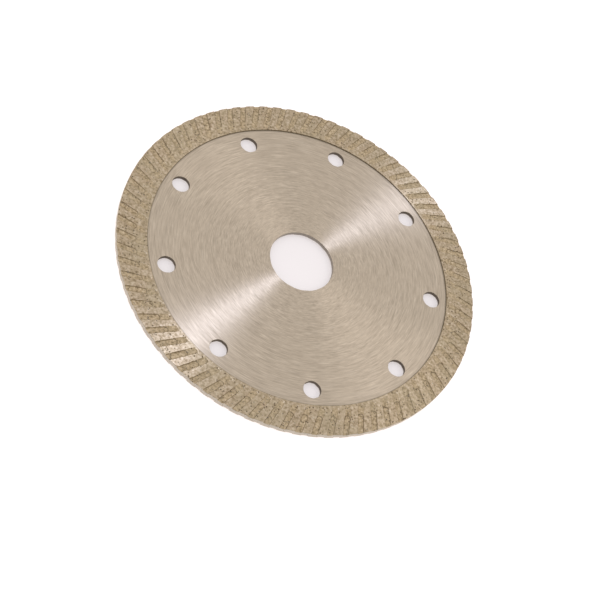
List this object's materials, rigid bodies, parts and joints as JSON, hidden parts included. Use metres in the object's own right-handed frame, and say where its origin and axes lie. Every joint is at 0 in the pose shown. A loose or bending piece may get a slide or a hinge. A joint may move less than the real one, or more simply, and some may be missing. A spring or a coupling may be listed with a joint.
{
  "type": "diamond blade",
  "caption": "Flat round cutting blade: a brushed steel core with an arbor bore and a ring of cooling holes, inside a sintered diamond rim with slanted turbo grooves on both faces.",
  "frame": {"origin": "centre of the arbor bore, midway through the thickness", "axes": "+Z along the bore axis, out of the front face; +X through the centre of a cooling hole"},
  "size_m": [0.125, 0.125, 0.0022],
  "materials": {
    "steel": "satin, circular brushing",
    "bond": "matte sintered bronze, fine pores",
    "grit": "glassy crystal faces"
  },
  "bodies": {
    "root": {"steel_core": "steel", "rim_bond": "bond", "grit_front": "grit", "grit_back": "grit", "grit_edge": "grit"}
  },
  "joints": []
}
